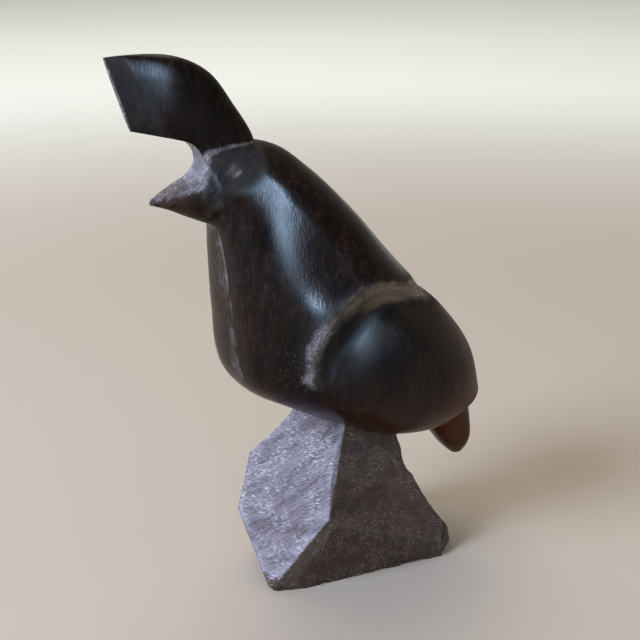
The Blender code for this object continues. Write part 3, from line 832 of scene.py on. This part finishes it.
wood = {
    "black": (0.0026, 0.0019, 0.0021),
    "brown": (0.0112, 0.0048, 0.0034),
    "red": (0.039, 0.0115, 0.006),
    "bounceRed": (0.07, 0.02, 0.006),  # painted warm bounce light, towards the belly, rump and tail
    "wornGrey": (0.024, 0.018, 0.014),
    "raspedDark": (0.0135, 0.008, 0.006),
    "warmDust": (0.16, 0.096, 0.064),
    "oliveDust": (0.235, 0.19, 0.135),
    "scored": (0.03, 0.022, 0.024),
    # pale rasp dust, tinted bluish by a painted sheen of the cold window
    "paleDustAndSheen": (0.312, 0.29, 0.34),
    "oliveFleck": (0.26, 0.205, 0.13),
    "silverFleck": (0.68, 0.67, 0.73),
    "scuff": (0.11, 0.09, 0.075),
    "mottled": (0.04, 0.022, 0.015),
    "polishRoughness": (0.22, 0.35),  # from the smoothest places to the smeared ones
    "wornRoughness": 0.78,
    "rubbedRoughness": 0.17,
    "raspedRoughness": (0.44, 0.62),
    "shine": 0.105,
    # features per metre across and along the grain, in the polished wood
    "smear": (90, 90, 60),
    "streak": (230, 230, 24),
    "cloud": (38, 38, 20),
    "mottle": (620, 620, 300),
    "scratch": (2100, 1500, 260),
    "pore": (1500, 1500, 160),
    "blotch": (170, 170, 170),
    "grit": (1700, 1700, 1700),
    # and per millimetre across and along the rasp strokes
    "fine": (3.6, 0.55, 1.0),
    "crossed": (3.2, 0.45, 1.0),
    "long": (1.2, 0.09, 1.0),
    "band": (0.3, 0.05, 1.0),
    "poreDepth": 0.0001,
    "strokeDepth": 0.00018,
}


def put(socket, given):  # links a socket, or sets a number, vector or colour
    if isinstance(given, bpy.types.NodeSocket):
        socket.id_data.links.new(given, socket)
    else:
        socket.default_value = (*given, 1.0) if socket.type == "RGBA" else given


def addNode(tree, kind, settings=None, **inputs):  # i0, i1 and so on are inputs by number
    node = tree.nodes.new("ShaderNode" + kind)
    for key, setting in (settings or {}).items():
        setattr(node, key, setting)
    for key, given in inputs.items():
        put(node.inputs[int(key[1:])] if key[1:].isdigit() else node.inputs[key], given)
    return node


def newFinish(name):
    finish = bpy.data.materials.new(name)
    finish.use_nodes = True
    return finish, finish.node_tree, finish.node_tree.nodes["Principled BSDF"]


def ironwood():
    # Two finishes, mixed by the strength of the rasp marks plus an uneven noise. The polished
    # one runs from black over brown to red with the grain's streaks and clouds, and a painted warm
    # bounce light is laid on towards the belly, rump and tail. The rasped one is dark wood, then
    # dust laid along the strokes, scored lines and pale flecks, its palest dust with a painted
    # bluish window sheen. Pores and strokes are also bump.
    made, tree, shader = newFinish("desertIronwood")
    add = partial(addNode, tree)

    def ramp(given, *stops):
        node = add("ValToRGB", Fac=given)
        for k, (at, colour) in enumerate(stops):
            stop = node.color_ramp.elements[k] if k < 2 else node.color_ramp.elements.new(at)
            stop.position = at
            stop.color = (*colour, 1.0) if isinstance(colour, tuple) else (*(colour,) * 3, 1.0)
        return node.outputs["Color"]

    def noise(vector, scale, detail, rough=0.55, turn=(0, 0, 0), warp=0.0):
        laid = add("Mapping", {"vector_type": "TEXTURE"}, Vector=vector, Rotation=turn,
                   Scale=tuple(1 / size for size in wood[scale]))
        return add("TexNoise", Vector=laid.outputs[0], Scale=1.0, Detail=detail,
                   Roughness=rough, Distortion=warp).outputs["Fac"]

    def calc(kind, a, b):
        return add("Math", {"operation": kind}, i0=a, i1=b).outputs[0]

    times, plus, most = (partial(calc, kind) for kind in ("MULTIPLY", "ADD", "MAXIMUM"))

    def mix(share, a, b):
        return add("Mix", {"data_type": "RGBA"}, i0=share, i6=a, i7=b).outputs[2]

    def layer(name):
        return add("Attribute", {"attribute_name": name}).outputs["Fac"]

    place = add("TexCoord").outputs["Object"]
    run = add("Attribute", {"attribute_name": "toolRun"}).outputs["Vector"]
    dust, silver, worn, warm = layer("dust"), layer("silver"), layer("worn"), layer("warm")
    onRock = add("SeparateXYZ", Vector=run).outputs[2]
    onRock = ramp(calc("DIVIDE", onRock, 200.0), (0.3, 0.0), (0.35, 1.0))  # and in the notch
    offRock = calc("SUBTRACT", 1.0, onRock)

    smear = noise(place, "smear", 4.0)
    streaks = noise(place, "streak", 7.0, 0.62, (0.1, 0.16, 0.0), 0.4)
    cloud = noise(place, "cloud", 3.0)
    tone = plus(times(streaks, 0.62), times(cloud, 0.38))
    polished = ramp(tone, (0.4, wood["black"]), (0.6, wood["brown"]), (0.74, wood["red"]))
    # painted warm bounce light, a red painted reflection laid on towards the belly, rump and tail
    polished = mix(times(warm, ramp(tone, (0.36, 0.15), (0.66, 1.0))), polished, wood["bounceRed"])
    polished = mix(times(worn, ramp(streaks, (0.38, 0.1), (0.62, 0.9))), polished, wood["wornGrey"])
    mottle = ramp(noise(place, "mottle", 4.0, 0.65), (0.5, 0.0), (0.66, 0.6))
    polished = mix(times(mottle, ramp(cloud, (0.36, 0.2), (0.6, 1.0))), polished, wood["mottled"])
    scuffs = ramp(noise(place, "scratch", 3.0, 0.6, (0.5, 0.2, 0.0)), (0.6, 0.0), (0.7, 0.55))
    polished = mix(times(scuffs, ramp(smear, (0.46, 0.0), (0.66, 1.0))), polished, wood["scuff"])

    fine = noise(run, "fine", 3.0, 0.55, (0, 0, 0.1), 0.1)
    crossed = noise(run, "crossed", 3.0, 0.55, (0, 0, 0.72), 0.1)
    long = noise(run, "long", 4.0, 0.6, (0, 0, 0.04))
    band = noise(run, "band", 3.0, 0.5, (0, 0, 0.25), 0.6)
    blotch = noise(place, "blotch", 3.0, 0.6)
    grit = noise(place, "grit", 2.0, 0.6)
    patchy = ramp(plus(times(band, 0.55), times(long, 0.45)), (0.36, 0.45), (0.62, 1.25))
    laid = times(plus(times(dust, 0.46), 0.21), patchy)
    plain = mix(onRock, wood["oliveDust"], wood["warmDust"])
    # the palest dust is real rasp dust plus a painted bluish window sheen
    rough = mix(laid, wood["raspedDark"], mix(silver, plain, wood["paleDustAndSheen"]))
    scored = times(onRock, ramp(crossed, (0.34, 0.6), (0.45, 0.0)))
    rough = mix(scored, rough, wood["scored"])
    flecks = times(onRock, ramp(crossed, (0.55, 0.0), (0.65, 1.0)))
    drawn = times(ramp(long, (0.56, 0.0), (0.64, 0.7)), offRock)
    flecks = most(ramp(fine, (0.54, 0.0), (0.65, 1.0)), most(flecks, drawn))
    flecks = times(flecks, ramp(blotch, (0.41, 0.06), (0.61, 1.05)))
    flecks = times(flecks, ramp(silver, (0.0, 0.66), (1.0, 0.8)))
    specks = times(ramp(grit, (0.58, 0.0), (0.66, 0.85)), offRock)
    flecks = most(flecks, times(specks, silver))
    rough = mix(flecks, rough, mix(silver, wood["oliveFleck"], wood["silverFleck"]))

    stroke = plus(times(fine, 0.5), times(long, 0.5))
    uneven = plus(times(stroke, 0.3), times(blotch, 0.7))
    reached = plus(times(layer("rasped"), 1.4), times(calc("SUBTRACT", uneven, 0.5), 1.8))
    rasped = ramp(reached, (0.34, 0.0), (1.1, 1.0))
    put(shader.inputs["Base Color"], mix(rasped, polished, rough))

    gloss = ramp(smear, (0.35, wood["polishRoughness"][0]), (0.7, wood["polishRoughness"][1]))
    gloss = mix(worn, gloss, (wood["wornRoughness"],) * 3)
    glints = times(layer("rubbed"), ramp(grit, (0.38, 0.25), (0.58, 1.0)))
    gloss = mix(glints, gloss, (wood["rubbedRoughness"],) * 3)
    dull = ramp(grit, (0.3, wood["raspedRoughness"][0]), (0.7, wood["raspedRoughness"][1]))
    put(shader.inputs["Roughness"], mix(rasped, gloss, dull))
    put(shader.inputs["Specular IOR Level"], wood["shine"])

    pores = noise(place, "pore", 3.0, 0.6)
    low = add("Bump", Strength=0.38, Distance=wood["poreDepth"], Height=pores)
    relief = plus(times(plus(fine, crossed), 0.9), times(long, 0.6))
    high = add("Bump", Strength=0.8, Distance=wood["strokeDepth"],
               Height=times(relief, rasped), Normal=low.outputs[0])
    put(shader.inputs["Normal"], high.outputs[0])
    return made


print("finishing the wood")
whole.materials.clear()
whole.materials.append(ironwood())
whole.polygons.foreach_set("material_index", np.zeros(len(whole.polygons), np.int32))
whole.shade_smooth()
whole.set_sharp_from_angle(angle=math.radians(40.0))
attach(carving, "root")
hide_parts("quail_carving")


# Floor, light and camera

studio = {
    "nearFloor": (0.44, 0.375, 0.3),
    "farFloor": (0.9, 0.95, 0.9),
    "floorReach": 9.0,
    "floorBlend": (0.3, 1.5),  # where its tone starts to lighten and where that ends, in metres
    "sky": (1.0, 0.93, 0.84),
    "skyStrength": 0.32,
    # name, heading from the bird's front towards its left and height of its middle in degrees,
    # distance, width and height in metres, power, colour
    "lights": (
        ("tallWindow", 72.0, 26.0, 1.6, 0.1, 1.2, 98.0, (0.5, 0.72, 1.0)),
        ("frontWindow", 2.0, 33.0, 1.6, 0.6, 0.7, 40.0, (0.66, 0.76, 1.0)),
        ("roomLight", -100.0, 62.0, 3.2, 2.4, 2.4, 40.0, (1.0, 0.9, 0.78))),
    # place, size, power and colour of a lamp over the far floor, which shines straight down
    "wallWash": ((-4.2, 2.4, 2.8), 7.0, 85.0, (0.94, 1.0, 0.95)),
    "target": (0.0, -0.005, 0.085),
    "cameraPlace": (0.2579, -0.1544, 0.1898),
    "lookDown": 19.5,
    "lookHeading": 150.0,  # degrees from +X towards +Y of the view direction
    "lens": 56.25,
}


def aim(thing, start, at):  # points the thing's -Z from its place to a point
    thing.location = start
    thing.rotation_euler = (Vector(at) - Vector(start)).to_track_quat("-Z", "Y").to_euler()


def direction(heading, lift):  # unit vector at two angles in degrees, from +X towards +Y and up
    turn, lift = math.radians(heading), math.radians(lift)
    level = math.cos(lift)
    return Vector((math.cos(turn) * level, math.sin(turn) * level, math.sin(lift)))


def paleFloor():
    # A square whose tone eases from near to far with the distance from the carving
    reach = studio["floorReach"]
    mesh = bpy.data.meshes.new("paleFloor")
    corners = [(-reach, -reach, 0), (reach, -reach, 0), (reach, reach, 0), (-reach, reach, 0)]
    mesh.from_pydata(corners, [], [(0, 1, 2, 3)])
    finish, tree, shader = newFinish("paleFloor")
    put(shader.inputs["Roughness"], 0.7)
    spot = addNode(tree, "TexCoord").outputs["Object"]
    away = addNode(tree, "VectorMath", {"operation": "LENGTH"}, i0=spot).outputs["Value"]
    start, end = studio["floorBlend"]
    blend = addNode(tree, "MapRange", {"interpolation_type": "SMOOTHSTEP"},
                    Value=away, **{"From Min": start, "From Max": end}).outputs["Result"]
    tint = addNode(tree, "Mix", {"data_type": "RGBA"}, i0=blend,
                   i6=studio["nearFloor"], i7=studio["farFloor"])
    put(shader.inputs["Base Color"], tint.outputs[2])
    mesh.materials.append(finish)
    return addObject("paleFloor", mesh)


def addLamp(name, width, height, power, colour):
    lamp = bpy.data.lights.new(name, "AREA")
    lamp.shape, lamp.size, lamp.size_y = "RECTANGLE", width, height
    lamp.energy, lamp.color = power, colour
    return addObject(name, lamp)


print("setting up the studio")
paleFloor()

world = bpy.data.worlds.new("paleRoom")
world.use_nodes = True
background = world.node_tree.nodes["Background"]
put(background.inputs["Color"], studio["sky"])
put(background.inputs["Strength"], studio["skyStrength"])
bpy.context.scene.world = world

for name, heading, lift, distance, width, height, power, colour in studio["lights"]:
    light = addLamp(name, width, height, power, colour)
    light.visible_diffuse = name != "tallWindow"  # it only shines in the polish
    way = direction(heading - 90, lift)
    aim(light, Vector(studio["target"]) + way * distance, studio["target"])
place, size, power, colour = studio["wallWash"]
wash = addLamp("wallWash", size, size, power, colour)
wash.location = place
wash.visible_glossy = False

view = bpy.data.cameras.new("camera")
view.lens = studio["lens"]
camera = addObject("camera", view)
ahead = direction(studio["lookHeading"], -studio["lookDown"])
aim(camera, studio["cameraPlace"], Vector(studio["cameraPlace"]) + ahead)
bpy.context.scene.camera = camera
bpy.context.scene.view_settings.view_transform = "Standard"
